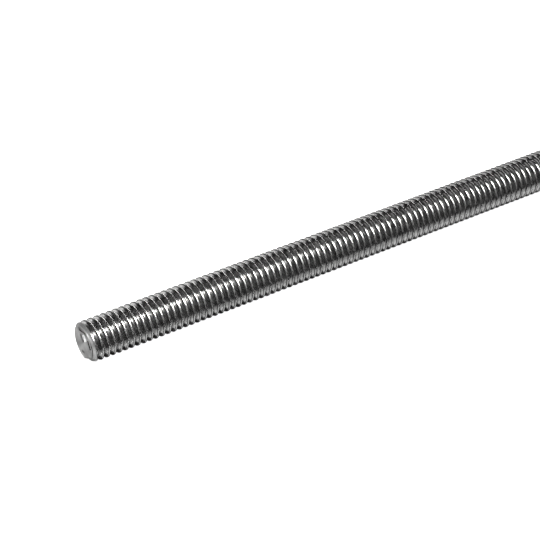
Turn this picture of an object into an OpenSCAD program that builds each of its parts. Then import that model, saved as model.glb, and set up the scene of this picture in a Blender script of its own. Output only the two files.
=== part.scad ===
// Stud bolt: a straight steel rod with one right-hand metric thread along its whole length.
// The rod lies along +X, and the centre of its near end face is the origin.

/* [Rod] */
// Length over the two end faces
length = 110; // [20:1:120]
// Nominal diameter of the thread
nominal_d = 8; // [7:0.5:10]
// How far the finished crests lie under the nominal diameter
crest_allowance = 0.19; // [0.028:0.002:0.24]

/* [Thread] */
// Pitch, the advance of the thread in one turn
pitch = 1.25; // [1:0.05:1.5]
// Angle between the two flanks of the groove
flank_angle = 60; // [55:1:65]
// Width of the flat on the crest
crest_flat = 0.156; // [0.13:0.002:0.2]
// Width of the flat at the root of the groove
root_flat = 0.208; // [0.1:0.002:0.3]
// Direction in which the groove leaves the near end face, counted from straight down
start_angle = 250; // [0:5:355]

/* [Ends] */
// Length of the chamfer on each end, along the rod
chamfer_length = 0.55; // [0.2:0.05:0.7]
// Angle of the chamfer to the rod's axis
chamfer_angle = 45; // [30:1:60]

/* [Detail] */
// Steps that the groove may take along the whole rod, shared out among its turns
groove_steps = 1440; // [1200:20:1600]
// Smoothness of the turned surfaces
rod_fn = 96; // [48:8:160]

/* [Hidden] */

// The rod before threading
major_r = (nominal_d - crest_allowance) / 2;
face_r = major_r - chamfer_length * tan(chamfer_angle);

// The groove between two crests
flank_slope = tan(flank_angle / 2);
mouth_w = pitch - crest_flat;
groove_depth = (mouth_w - root_flat) / (2 * flank_slope);
root_r = major_r - groove_depth;

// The groove runs one turn past each end, so it leaves both faces at its full depth
run_out = pitch;
turns = (length + 2 * run_out) / pitch;
turn_steps = floor(groove_steps / turns);
last_step = ceil(turns * turn_steps);

// Corners lie as far outside the true helix as the middles of the facets lie inside it
corner_k = 2 / (1 + cos(180 / turn_steps));
// The cutter stands proud of the crests: more than its facets sink between their corners,
// and less than would make two turns of it meet
least_proud = major_r / (corner_k * cos(180 / turn_steps)) - major_r;
most_proud = crest_flat / (2 * flank_slope);
proud = (least_proud + most_proud) / 2;

// One corner of the cutter: its angle about the rod, radius, and place along the rod
function corner(angle, r, z) = [corner_k * r * cos(angle), corner_k * r * sin(angle), z];

// The cutter's section at one step: the root flat, then out along both flanks
function section(step) =
    let (
        angle = 360 * step / turn_steps,
        middle = pitch * step / turn_steps - run_out,
        half_root = root_flat / 2,
        half_mouth = mouth_w / 2 + proud * flank_slope
    )
    [
        corner(angle, root_r, middle - half_root),
        corner(angle, root_r, middle + half_root),
        corner(angle, major_r + proud, middle + half_mouth),
        corner(angle, major_r + proud, middle - half_mouth)
    ];

// Two triangles for each side of the section, between a step and the next
function skin(step) = [
    for (side = [0:3])
        let (
            here = 4 * step + side,
            beside = 4 * step + (side + 1) % 4,
            beyond = beside + 4,
            ahead = here + 4
        )
        each [[here, beyond, beside], [here, ahead, beyond]]
];

// The thread groove as one closed helical solid
module groove() {
    polyhedron(
        points = [for (step = [0:last_step]) each section(step)],
        faces = concat(
            [[0, 1, 2, 3]],
            [for (step = [0:last_step - 1]) each skin(step)],
            [[for (side = [3:-1:0]) 4 * last_step + side]]
        ),
        convexity = 10
    );
}

// The plain rod with a chamfer at each end
module blank() {
    rotate_extrude($fn = rod_fn)
        polygon([
            [0, 0],
            [face_r, 0],
            [major_r, chamfer_length],
            [major_r, length - chamfer_length],
            [face_r, length],
            [0, length]
        ]);
}

module stud() {
    color("silver")
        rotate([0, 90, 0])
            difference() {
                blank();
                rotate([0, 0, start_angle])
                    groove();
            }
}

stud();
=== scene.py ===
import math
import bpy
from mathutils import Matrix, Vector


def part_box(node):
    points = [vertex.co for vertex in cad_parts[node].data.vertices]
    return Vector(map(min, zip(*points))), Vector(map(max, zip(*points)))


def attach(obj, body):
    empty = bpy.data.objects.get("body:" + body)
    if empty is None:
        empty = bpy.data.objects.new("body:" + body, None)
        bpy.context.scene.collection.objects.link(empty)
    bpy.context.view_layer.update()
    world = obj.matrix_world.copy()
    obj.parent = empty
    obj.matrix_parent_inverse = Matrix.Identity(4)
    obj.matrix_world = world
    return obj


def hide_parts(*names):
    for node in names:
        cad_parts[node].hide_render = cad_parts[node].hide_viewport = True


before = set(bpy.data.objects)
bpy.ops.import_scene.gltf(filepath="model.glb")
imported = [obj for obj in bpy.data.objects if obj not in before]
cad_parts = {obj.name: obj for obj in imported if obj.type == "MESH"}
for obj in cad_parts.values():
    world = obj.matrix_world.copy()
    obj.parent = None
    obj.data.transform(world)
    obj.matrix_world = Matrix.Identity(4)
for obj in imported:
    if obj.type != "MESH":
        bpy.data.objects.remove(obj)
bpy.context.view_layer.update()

mm = 0.001
hair = 0.00001 * mm             # bisect merges nothing that lies further apart
low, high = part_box("stud")
rodLength = high.x - low.x
rodRadius = min(high.y, high.z, -low.y, -low.z)
print("frame loaded, rod", round(rodLength / mm, 2), "mm long")


# small helpers

def clearSelection():
    bpy.ops.object.select_all(action="DESELECT")


def applyModifier(piece, kind, **settings):
    bpy.context.view_layer.objects.active = piece
    bpy.ops.object.modifier_add(type=kind)
    modifier = piece.modifiers[-1]
    for key, value in settings.items():
        setattr(modifier, key, value)
    bpy.ops.object.modifier_apply(modifier=modifier.name)


def selectWhere(piece, kind, test):
    # test gets the middle of a vertex, edge or face, and a face's normal
    bpy.ops.mesh.select_mode(type=kind)
    bpy.ops.mesh.select_all(action="DESELECT")
    bpy.ops.object.mode_set(mode="OBJECT")
    mesh = piece.data
    if kind == "VERT":
        for vertex in mesh.vertices:
            vertex.select = test(vertex.co, None)
    elif kind == "EDGE":
        for edge in mesh.edges:
            a, b = (mesh.vertices[i].co for i in edge.vertices)
            edge.select = test((a + b) / 2, None)
    else:
        for face in mesh.polygons:
            face.select = test(face.center, face.normal)
    bpy.ops.object.mode_set(mode="EDIT")


# the thread: one helical skin, swept from the outline of a single groove

thread = {
    "pitch": 1.25 * mm,
    "flankAngle": 60,            # between the two flanks, degrees
    "crestFlat": 0.240 * mm,
    "rootFlat": 0.170 * mm,
    "crestRound": 0.110 * mm,    # taken from flat and flank alike, so under half the flat
    "rootRound": 0.080 * mm,
    "crestSegments": 2,
    "rootSegments": 3,
    "skinGap": 0.001 * mm,       # keeps the crests just inside the solid's own
    "crestTurn": 340,            # where a crest meets the near face, degrees from +Y towards +Z
    "stepsPerTurn": 64,
    "spareTurns": 2,             # past each end, trimmed off later
    "weld": 0.001 * mm,
    "nib": 0.001 * mm,           # vertices this near the outline's ends count as its ends
}


def makeThreadSkin(values):
    pitch = values["pitch"]
    crestRadius = rodRadius - values["skinGap"]
    mouth = pitch - values["crestFlat"]
    flankRun = (mouth - values["rootFlat"]) / 2
    depth = flankRun / math.tan(math.radians(values["flankAngle"] / 2))
    turn = math.radians(values["crestTurn"])
    outward = Vector((0, math.cos(turn), math.sin(turn)))
    clearSelection()
    bpy.ops.mesh.primitive_plane_add(size=pitch, location=(0, 0, 0))
    skin = bpy.context.object
    skin.name = "threadedRod"
    bpy.ops.object.mode_set(mode="EDIT")
    bpy.ops.mesh.select_all(action="SELECT")
    bpy.ops.mesh.merge(type="CENTER")
    start = outward * crestRadius - Vector((pitch * values["spareTurns"], 0, 0))
    bpy.ops.transform.translate(value=start)
    # half a crest, down, along the root, up, half a crest
    outline = [
        (values["crestFlat"] / 2, 0),
        (flankRun, -depth),
        (values["rootFlat"], 0),
        (flankRun, depth),
        (values["crestFlat"] / 2, 0),
    ]
    for run, rise in outline:
        move = Vector((run, 0, 0)) + outward * rise
        bpy.ops.mesh.extrude_region_move(TRANSFORM_OT_translate={"value": move})
    first, last = start.x, start.x + pitch
    middleRadius = crestRadius - depth / 2
    nib = values["nib"]

    def isCrest(spot, _):
        return spot.yz.length > middleRadius and first + nib < spot.x < last - nib

    def isRoot(spot, _):
        return spot.yz.length < middleRadius

    selectWhere(skin, "VERT", isCrest)
    bpy.ops.mesh.bevel(
        offset=values["crestRound"], segments=values["crestSegments"], affect="VERTICES"
    )
    selectWhere(skin, "VERT", isRoot)
    bpy.ops.mesh.bevel(
        offset=values["rootRound"], segments=values["rootSegments"], affect="VERTICES"
    )
    bpy.ops.object.mode_set(mode="OBJECT")
    turns = round(rodLength / pitch) + 2 * values["spareTurns"]
    applyModifier(
        skin, "SCREW", axis="X", screw_offset=pitch, iterations=turns,
        steps=values["stepsPerTurn"], render_steps=values["stepsPerTurn"],
        use_smooth_shade=True,
    )
    # each turn ends where the next begins
    bpy.ops.object.mode_set(mode="EDIT")
    bpy.ops.mesh.select_all(action="SELECT")
    bpy.ops.mesh.remove_doubles(threshold=values["weld"])
    bpy.ops.object.mode_set(mode="OBJECT")
    return skin


def closeSkin(skin, margin):
    # trims the spare turns and closes both cuts, so that the skin is a solid
    for x, inward in ((low.x - margin, 1), (high.x + margin, -1)):
        bpy.context.view_layer.objects.active = skin
        bpy.ops.object.mode_set(mode="EDIT")
        bpy.ops.mesh.select_all(action="SELECT")
        bpy.ops.mesh.bisect(
            plane_co=(x, 0, 0), plane_no=(inward, 0, 0), use_fill=True, clear_inner=True,
            threshold=hair,
        )
        bpy.ops.object.mode_set(mode="OBJECT")
    bpy.ops.object.mode_set(mode="EDIT")
    bpy.ops.mesh.select_all(action="SELECT")
    bpy.ops.mesh.normals_make_consistent(inside=False)
    bpy.ops.object.mode_set(mode="OBJECT")


# the blank: a plain rod with finished ends, to which the thread's skin is cut

ends = {
    "chamfer": 0.55 * mm,
    "edgeRound": 0.05 * mm,
    "roundSegments": 3,
    "spare": 0.4 * mm,          # the blank stands proud of the crests by this much
    "sides": 160,
    "rim": 0.01 * mm,           # edges this near an end face lie on it
}

# the shears left a slanted flat on one side of the near end's rim
shearFlat = {
    "turn": 236,                # its middle, degrees from +Y towards +Z
    "reach": 2.74 * mm,         # from the axis, at the face
    "slant": 44,                # to the axis, degrees
}


def makeBlank(values):
    clearSelection()
    bpy.ops.mesh.primitive_cylinder_add(
        vertices=values["sides"], radius=rodRadius + values["spare"], depth=rodLength,
        location=(rodLength / 2, 0, 0), rotation=(0, math.pi / 2, 0),
    )
    blank = bpy.context.object
    blank.name = "blank"
    bpy.ops.object.transform_apply(location=True, rotation=True, scale=True)
    bpy.ops.object.mode_set(mode="EDIT")
    rim = values["rim"]

    def onEnd(spot, _):
        return spot.x < low.x + rim or spot.x > high.x - rim

    selectWhere(blank, "EDGE", onEnd)
    bpy.ops.mesh.bevel(
        offset=values["chamfer"] + values["spare"], segments=1, affect="EDGES"
    )
    selectWhere(blank, "EDGE", onEnd)
    bpy.ops.mesh.bevel(
        offset=values["edgeRound"], segments=values["roundSegments"], affect="EDGES"
    )
    bpy.ops.object.mode_set(mode="OBJECT")
    return blank


def flattenRim(blank, values):
    turn, slant = math.radians(values["turn"]), math.radians(values["slant"])
    outward = Vector((0, math.cos(turn), math.sin(turn)))
    across = outward * math.cos(slant) - Vector((math.sin(slant), 0, 0))
    bpy.context.view_layer.objects.active = blank
    bpy.ops.object.mode_set(mode="EDIT")
    bpy.ops.mesh.select_all(action="SELECT")
    bpy.ops.mesh.bisect(
        plane_co=outward * values["reach"], plane_no=across, use_fill=True, clear_outer=True,
        threshold=hair,
    )
    bpy.ops.object.mode_set(mode="OBJECT")


# marks on the near face, each a chisel cut, in millimetres and degrees
# edge: where its deepest line starts and ends, as Y and Z
# tilt: between its gentle side and the face; rise: 1 or -1, on which side of the line that lies
nearFace = {
    "brightFacet": {"edge": ((-0.15, 2.10), (-1.25, 1.20)), "depth": 0.44, "tilt": 28, "rise": -1},
    "darkFacet": {"edge": ((1.02, 1.34), (-0.12, 0.26)), "depth": 0.46, "tilt": 38, "rise": 1},
    "topScore": {"edge": ((1.36, 2.10), (-1.13, 2.47)), "depth": 0.24, "tilt": 20, "rise": 1},
    "sideSlit": {"edge": ((-1.62, 1.55), (-2.40, 0.00)), "depth": 0.20, "tilt": 20, "rise": 1},
    "lowNick": {"edge": ((0.70, -2.32), (-0.20, -2.15)), "depth": 0.22, "tilt": 22, "rise": 1},
}
chiselReach = 1.5 * mm          # further than any mark is wide


def cutMark(blank, values):
    start, end = (Vector((0, *spot)) * mm for spot in values["edge"])
    run = (end - start).normalized()
    outside = Vector((-1, 0, 0))
    sideways = run.cross(outside) * -values["rise"]
    tilt = math.radians(values["tilt"])
    gentle = sideways * math.cos(tilt) + outside * math.sin(tilt)
    steep = outside * math.cos(tilt) - sideways * math.sin(tilt)
    spot = (start + end) / 2 + Vector((low.x + values["depth"] * mm, 0, 0))
    turned = Matrix((gentle, steep, gentle.cross(steep))).transposed().to_euler()
    clearSelection()
    bpy.ops.mesh.primitive_cube_add(
        size=1, location=spot + (gentle + steep) * chiselReach / 2, rotation=turned,
        scale=(chiselReach, chiselReach, (end - start).length),
    )
    chisel = bpy.context.object
    bpy.ops.object.transform_apply(location=True, rotation=True, scale=True)
    applyModifier(blank, "BOOLEAN", operation="DIFFERENCE", solver="EXACT", object=chisel)
    bpy.data.objects.remove(chisel)


smoothUpTo = math.radians(35)

threadedRod = makeThreadSkin(thread)
print("thread swept", len(threadedRod.data.polygons), "faces")
closeSkin(threadedRod, thread["pitch"] / 2)
blank = makeBlank(ends)
flattenRim(blank, shearFlat)
for mark in nearFace.values():
    cutMark(blank, mark)
applyModifier(threadedRod, "BOOLEAN", operation="INTERSECT", solver="EXACT", object=blank)
bpy.data.objects.remove(blank)
clearSelection()
threadedRod.select_set(True)
bpy.context.view_layer.objects.active = threadedRod
bpy.ops.object.shade_smooth_by_angle(angle=smoothUpTo)
print("ends cut", len(threadedRod.data.polygons), "faces")
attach(threadedRod, "root")
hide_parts("stud")


# materials: two finishes of one steel, from the same few effects
# every pattern reads Object coordinates, turned into millimetres

def addNode(tree, kind, label="", **settings):
    node = tree.nodes.new(kind)
    node.label = label
    for key, value in settings.items():
        setattr(node, key, value)
    return node


def feed(tree, socket, value):
    # value is another node's output, or a plain number or vector
    if isinstance(value, bpy.types.NodeSocket):
        tree.links.new(value, socket)
    else:
        socket.default_value = value


def calculate(tree, operation, *values):
    node = addNode(tree, "ShaderNodeMath", operation=operation)
    for socket, value in zip(node.inputs, values):
        feed(tree, socket, value)
    return node.outputs[0]


def remap(tree, value, fromLow, fromHigh, toLow, toHigh):
    node = addNode(tree, "ShaderNodeMapRange", interpolation_type="SMOOTHSTEP")
    for socket, number in zip(node.inputs, (value, fromLow, fromHigh, toLow, toHigh)):
        feed(tree, socket, number)
    return node.outputs[0]


def noise(tree, spot, scale, detail):
    # scale is in waves per millimetre, one number for each axis
    stretched = addNode(tree, "ShaderNodeVectorMath", operation="MULTIPLY")
    feed(tree, stretched.inputs[0], spot)
    feed(tree, stretched.inputs[1], scale)
    node = addNode(tree, "ShaderNodeTexNoise")
    feed(tree, node.inputs["Vector"], stretched.outputs[0])
    feed(tree, node.inputs["Scale"], 1.0)
    feed(tree, node.inputs["Detail"], detail)
    return node.outputs["Fac"]


def newGroup(name, inputs, outputs):
    group = bpy.data.node_groups.new(name, "ShaderNodeTree")
    for socket, value in inputs.items():
        item = group.interface.new_socket(socket, in_out="INPUT", socket_type="NodeSocketFloat")
        item.default_value = value
    for socket in outputs:
        group.interface.new_socket(socket, in_out="OUTPUT", socket_type="NodeSocketFloat")
    start = addNode(group, "NodeGroupInput")
    end = addNode(group, "NodeGroupOutput")
    coordinates = addNode(group, "ShaderNodeTexCoord")
    inMillimetres = addNode(group, "ShaderNodeVectorMath", operation="SCALE")
    feed(group, inMillimetres.inputs[0], coordinates.outputs["Object"])
    feed(group, inMillimetres.inputs["Scale"], 1 / mm)
    return group, start.outputs, end.inputs, inMillimetres.outputs[0]


# in each effect: detail is noise octaves, range is the part of the noise that is spread to 0-1
drawLines = {
    "lineDetail": 3,
    "lineRange": (0.33, 0.67),
    "bandScale": (2.1, 0.35, 0.35),
    "bandDetail": 2,
    "bandRange": (0.35, 0.65),
}


def makeDrawLines(values):
    # fine lines that run round the rod, with softer bands under them
    group, given, result, spot = newGroup(
        "drawLines", {"fineness": 9, "length": 1.2}, ("lines", "bands")
    )
    stretch = addNode(group, "ShaderNodeCombineXYZ")
    feed(group, stretch.inputs["X"], given["fineness"])
    feed(group, stretch.inputs["Y"], calculate(group, "DIVIDE", 1, given["length"]))
    feed(group, stretch.inputs["Z"], calculate(group, "DIVIDE", 1, given["length"]))
    fine = noise(group, spot, stretch.outputs[0], values["lineDetail"])
    broad = noise(group, spot, values["bandScale"], values["bandDetail"])
    feed(group, result["lines"], remap(group, fine, *values["lineRange"], 0, 1))
    feed(group, result["bands"], remap(group, broad, *values["bandRange"], 0, 1))
    return group


mottle = {
    "cloudDetail": 4,
    "cloudRange": (0.32, 0.68),
    "speckDetail": 2,
    "speckLimit": 0.72,         # noise above this is a speck
    "limitDrop": 0.3,           # how far a speckShare of 1 lowers the limit
    "speckEdge": 0.09,          # how softly a speck begins
}


def makeMottle(values):
    # cloudy tarnish, and small pits and specks of dirt
    group, given, result, spot = newGroup(
        "mottle", {"cloudSize": 1.6, "speckSize": 0.16, "speckShare": 0.3}, ("cloud", "specks")
    )

    def patches(size, detail):
        sized = addNode(group, "ShaderNodeVectorMath", operation="SCALE")
        feed(group, sized.inputs[0], spot)
        feed(group, sized.inputs["Scale"], calculate(group, "DIVIDE", 1, size))
        return noise(group, sized.outputs[0], (1, 1, 1), detail)

    cloud = patches(given["cloudSize"], values["cloudDetail"])
    speck = patches(given["speckSize"], values["speckDetail"])
    drop = calculate(group, "MULTIPLY", given["speckShare"], values["limitDrop"])
    limit = calculate(group, "SUBTRACT", values["speckLimit"], drop)
    edge = calculate(group, "ADD", limit, values["speckEdge"])
    feed(group, result["cloud"], remap(group, cloud, *values["cloudRange"], 0, 1))
    feed(group, result["specks"], remap(group, speck, limit, edge, 0, 1))
    return group


def makeAcrossThread():
    # how far along the rod a spot lies from the middle of the nearest crest, in millimetres
    # crestTurn is in radians
    group, given, result, spot = newGroup(
        "acrossThread", {"pitch": 1.25, "crestTurn": 0}, ("across", "distance")
    )
    parts = addNode(group, "ShaderNodeSeparateXYZ")
    feed(group, parts.inputs[0], spot)
    angle = calculate(group, "ARCTAN2", parts.outputs["Z"], parts.outputs["Y"])
    turned = calculate(group, "SUBTRACT", angle, given["crestTurn"])
    advance = calculate(group, "DIVIDE", parts.outputs["X"], given["pitch"])
    turns = calculate(group, "SUBTRACT", advance, calculate(group, "DIVIDE", turned, math.tau))
    # half a turn on and back again, so that the share runs from -0.5 to 0.5
    fromMiddle = calculate(group, "FRACT", calculate(group, "ADD", turns, 0.5))
    share = calculate(group, "SUBTRACT", fromMiddle, 0.5)
    across = calculate(group, "MULTIPLY", share, given["pitch"])
    feed(group, result["across"], across)
    feed(group, result["distance"], calculate(group, "ABSOLUTE", across))
    return group


effects = {
    "drawLines": makeDrawLines(drawLines),
    "mottle": makeMottle(mottle),
    "acrossThread": makeAcrossThread(),
}


def place(tree, effect, **settings):
    node = addNode(tree, "ShaderNodeGroup", effect, node_tree=effects[effect])
    for socket, value in settings.items():
        feed(tree, node.inputs[socket], value)
    return node.outputs


def weigh(tree, parts, weights):
    # adds up the parts that have a weight, each times its own
    total = 0
    for name, weight in weights.items():
        total = calculate(tree, "MULTIPLY_ADD", parts[name], weight, total)
    return total


def tint(tree, shade, dark, light):
    # sockets 6 and 7 are the mix node's two colours, and output 2 is the mixed one
    node = addNode(tree, "ShaderNodeMix", data_type="RGBA")
    feed(tree, node.inputs["Factor"], shade)
    feed(tree, node.inputs[6], (*dark, 1))
    feed(tree, node.inputs[7], (*light, 1))
    return node.outputs[2]


def newSteel(name):
    material = bpy.data.materials.new(name)
    material.use_nodes = True
    shader = material.node_tree.nodes["Principled BSDF"]
    shader.inputs["Metallic"].default_value = 1
    return material, material.node_tree, shader


def addRelief(tree, shader, height, depth):
    bump = addNode(tree, "ShaderNodeBump")
    bump.inputs["Distance"].default_value = depth
    feed(tree, bump.inputs["Height"], height)
    feed(tree, shader.inputs["Normal"], bump.outputs[0])


def finishSteel(tree, shader, parts, values):
    shade = weigh(tree, parts, values["shade"])
    feed(tree, shader.inputs["Base Color"], tint(tree, shade, values["dark"], values["light"]))
    wear = weigh(tree, parts, values["wear"])
    feed(tree, shader.inputs["Roughness"], remap(tree, wear, 0, 1, *values["roughness"]))
    addRelief(tree, shader, weigh(tree, parts, values["bumps"]), values["relief"])


# the thread: crests lightened, a painted highlight; a dark line beside each crest and a darker
# root, painted shade in the grooves
# shade runs from 0, dark, to 1, light, and wear from the first roughness to the second
# an edge is where a part begins to fade and where it is gone, from its middle, in millimetres
rolled = {
    "dark": (0.03, 0.03, 0.03),
    "light": (0.95, 0.95, 0.94),
    "roughness": (0.13, 0.27),
    "lines": {"fineness": 9, "length": 1.4},
    "dirt": {"cloudSize": 1.1, "speckSize": 0.17, "speckShare": 0.35},
    "crestEdge": (0.09, 0.15),
    "rootEdge": (0.42, 0.56),   # from the crest's middle, where the root begins
    # the dark line just before each crest is painted shade, where the groove lies in shadow
    "shadeLineEdge": (0.03, 0.075),
    "shadeLineSpot": 0.22,           # its middle, this far before the crest's
    # base colour weights: the crest's lift is a painted highlight, the dark line's and the root's
    # drops are painted shade
    "shade": {
        "base": 0.57, "crest": 0.25, "shadeLine": -0.50, "root": -0.25,
        "lines": 0.12, "bands": 0.08, "cloud": 0.14, "specks": -0.16,
    },
    "wear": {
        "crest": -0.15, "shadeLine": 0.60, "root": 0.30,
        "lines": 0.20, "cloud": 0.35, "specks": 0.45,
    },
    "bumps": {"lines": 0.5, "cloud": 1.2, "specks": -0.6},
    "relief": 0.0025 * mm,
}


def makeRolledSteel(values):
    material, tree, shader = newSteel("rolledSteel")
    lines = place(tree, "drawLines", **values["lines"])
    dirt = place(tree, "mottle", **values["dirt"])
    position = place(
        tree, "acrossThread",
        pitch=thread["pitch"] / mm, crestTurn=math.radians(thread["crestTurn"]),
    )
    # a thin dark line just before each crest: painted shade
    pastShadeLine = calculate(tree, "ADD", position["across"], values["shadeLineSpot"])
    fromShadeLine = calculate(tree, "ABSOLUTE", pastShadeLine)
    parts = {
        "base": 1.0,
        # the lighter crest is a painted highlight
        "crest": remap(tree, position["distance"], *values["crestEdge"], 1, 0),
        "shadeLine": remap(tree, fromShadeLine, *values["shadeLineEdge"], 1, 0),
        # the darker root is painted shade in the groove
        "root": remap(tree, position["distance"], *values["rootEdge"], 0, 1),
        "lines": lines["lines"],
        "bands": lines["bands"],
        "cloud": dirt["cloud"],
        "specks": dirt["specks"],
    }
    finishSteel(tree, shader, parts, values)
    return material


# the ends: sheared and brushed off, matt
cut = {
    "dark": (0.28, 0.28, 0.28),
    "light": (0.76, 0.76, 0.75),
    "roughness": (0.42, 0.62),
    "lines": {"fineness": 2.0, "length": 0.11},
    "dirt": {"cloudSize": 1.9, "speckSize": 0.24, "speckShare": 0.2},
    "shade": {"base": 0.2, "lines": 0.25, "cloud": 0.45, "specks": -0.35},
    "wear": {"lines": 0.3, "cloud": 0.5, "specks": 0.2},
    "bumps": {"lines": 0.8, "cloud": 0.7, "specks": -0.6},
    "relief": 0.006 * mm,
}


def makeCutSteel(values):
    material, tree, shader = newSteel("cutSteel")
    lines = place(tree, "drawLines", **values["lines"])
    dirt = place(tree, "mottle", **values["dirt"])
    parts = {
        "base": 1.0, "lines": lines["lines"], "cloud": dirt["cloud"], "specks": dirt["specks"],
    }
    finishSteel(tree, shader, parts, values)
    return material


threadedRod.data.materials.clear()
threadedRod.data.materials.append(makeRolledSteel(rolled))
threadedRod.data.materials.append(makeCutSteel(cut))

# the ends are what faces along the rod, or along a chamfer, near either face
endDepth = 0.62 * mm
chamferFacing = 0.60
clearSelection()
threadedRod.select_set(True)
bpy.context.view_layer.objects.active = threadedRod
bpy.ops.object.mode_set(mode="EDIT")


def isEnd(spot, normal):
    nearEnd = spot.x < low.x + endDepth and normal.x < -chamferFacing
    farEnd = spot.x > high.x - endDepth and normal.x > chamferFacing
    return nearEnd or farEnd


selectWhere(threadedRod, "FACE", isEnd)
threadedRod.active_material_index = 1
bpy.ops.object.material_slot_assign()
bpy.ops.mesh.faces_shade_flat()
bpy.ops.object.mode_set(mode="OBJECT")
endFaces = sum(face.material_index for face in threadedRod.data.polygons)
print("steel finished,", endFaces, "end faces")


# studio: glowing panels all round the rod, and a floor that the steel doesn't mirror

studio = {
    "floorSize": 4.0,
    "floorColor": (0.9, 0.9, 0.9, 1),
    "floorRoughness": 0.8,
    "worldColor": (0.005, 0.005, 0.005, 1),
    "ring": 1.5,                # how far away the panels hang, metres
    "gain": 1.17,               # on every panel's glow
    "cameraSpot": (-120.46 * mm, -248.28 * mm, 214.45 * mm),
    "cameraAzimuth": -32.745,
    "cameraElevation": 35.925,
    "lens": 131.23,
    "clip": (0.01, 20),
}

# turn: degrees about the rod from +Y towards +Z; lean: towards the far end;
# span: degrees along and across the rod; glow: brightness of the panel's face
panels = {
    "leftTop": {"turn": 70, "lean": -55, "span": (18, 36), "glow": 0.3},
    "leftTopFront": {"turn": 148, "lean": -45, "span": (20, 24), "glow": 0.45},
    "leftFront": {"turn": 182, "lean": -45, "span": (18, 36), "glow": 0.5},
    "leftUnderFront": {"turn": 252, "lean": -45, "span": (20, 30), "glow": 0.2},
    "leftUnder": {"turn": 285, "lean": -45, "span": (18, 24), "glow": 2.5},
    "nearGlint": {"turn": 343, "lean": -72, "span": (12, 12), "glow": 12},
    "nearRing": {"turn": 15, "lean": -67, "span": (10, 10), "glow": 5},
    "nearSpot": {"turn": 52, "lean": -77, "span": (9, 7), "glow": 9},
    "backLow": {"turn": 345, "lean": -18, "span": (37, 28), "glow": 0.65},
    "backMid": {"turn": 15, "lean": -18, "span": (37, 28), "glow": 0.4},
    "backRight": {"turn": 5, "lean": 10, "span": (18, 45), "glow": 0.85},
    "under": {"turn": 253, "lean": -18, "span": (34, 56), "glow": 0.5},
    "topStrip": {"turn": 105, "lean": 18, "span": (13, 9), "glow": 11},
    "topStripLow": {"turn": 115, "lean": 18, "span": (13, 9), "glow": 9},
    "topStripFar": {"turn": 112, "lean": 30, "span": (12, 13), "glow": 22},
    "topStripSoft": {"turn": 128, "lean": 24, "span": (26, 12), "glow": 1},
    "frontHigh": {"turn": 150, "lean": 28, "span": (20, 20), "glow": 0.65},
    "backTop": {"turn": 82, "lean": 30, "span": (13, 30), "glow": 3},
    "backHigh": {"turn": 50, "lean": 30, "span": (13, 24), "glow": 4},
    "backHighLow": {"turn": 22, "lean": 32, "span": (14, 20), "glow": 2.4},
    "frontMid": {"turn": 185, "lean": 30, "span": (13, 40), "glow": 0.8},
    "frontLow": {"turn": 222, "lean": 30, "span": (13, 24), "glow": 2.1},
    "rightTop": {"turn": 112, "lean": 47, "span": (21, 16), "glow": 9},
    "rightTopFront": {"turn": 132, "lean": 47, "span": (21, 18), "glow": 3.6},
    "rightTopSoft": {"turn": 160, "lean": 47, "span": (21, 24), "glow": 0.6},
    "rightEnd": {"turn": 106, "lean": 70, "span": (24, 22), "glow": 6},
    "nearEnd": {"turn": 319, "lean": -21, "span": (30, 30), "glow": 0.4},
}

clearSelection()
bpy.ops.mesh.primitive_plane_add(size=studio["floorSize"], location=(0, 0, low.z))
floor = bpy.context.object
floor.name = "floor"
floorPaint = bpy.data.materials.new("floorPaint")
floorPaint.use_nodes = True
floorShader = floorPaint.node_tree.nodes["Principled BSDF"]
floorShader.inputs["Base Color"].default_value = studio["floorColor"]
floorShader.inputs["Roughness"].default_value = studio["floorRoughness"]
floor.data.materials.append(floorPaint)
floor.visible_glossy = False
floor.visible_shadow = False


def hangPanel(name, values):
    turn, lean = math.radians(values["turn"]), math.radians(values["lean"])
    out = Vector((
        math.sin(lean), math.cos(lean) * math.cos(turn), math.cos(lean) * math.sin(turn)
    ))
    along = (Vector((1, 0, 0)) - out * out.x).normalized()
    spot = Vector((rodLength / 2, 0, 0)) + out * studio["ring"]
    width, height = (
        2 * studio["ring"] * math.tan(math.radians(angle) / 2) for angle in values["span"]
    )
    bpy.ops.object.light_add(type="AREA", location=spot)
    lamp = bpy.context.object
    lamp.name = name
    lamp.data.shape = "RECTANGLE"
    lamp.data.size, lamp.data.size_y = width, height
    # pi watts on a square metre make a glow of 1
    lamp.data.energy = values["glow"] * studio["gain"] * math.pi * width * height
    lamp.rotation_euler = Matrix((along, out.cross(along), out)).transposed().to_euler()
    return lamp


for name, values in panels.items():
    hangPanel(name, values)

# one more right above, for the floor alone: metal shows only lamps that glossy rays see
floorWash = {"turn": 90, "lean": 0, "span": (90, 90), "glow": 3.2}
washLamp = hangPanel("floorWash", floorWash)
washLamp.visible_glossy = False
washLamp.data.use_shadow = False

world = bpy.data.worlds.new("studioWorld")
bpy.context.scene.world = world
world.use_nodes = True
world.node_tree.nodes["Background"].inputs["Color"].default_value = studio["worldColor"]
bpy.context.scene.view_settings.view_transform = "Standard"

cameraData = bpy.data.cameras.new("camera")
camera = bpy.data.objects.new("camera", cameraData)
bpy.context.collection.objects.link(camera)
camera.location = studio["cameraSpot"]
camera.rotation_euler = (
    math.radians(90 - studio["cameraElevation"]), 0, math.radians(studio["cameraAzimuth"])
)
cameraData.lens = studio["lens"]
cameraData.clip_start, cameraData.clip_end = studio["clip"]
bpy.context.scene.camera = camera
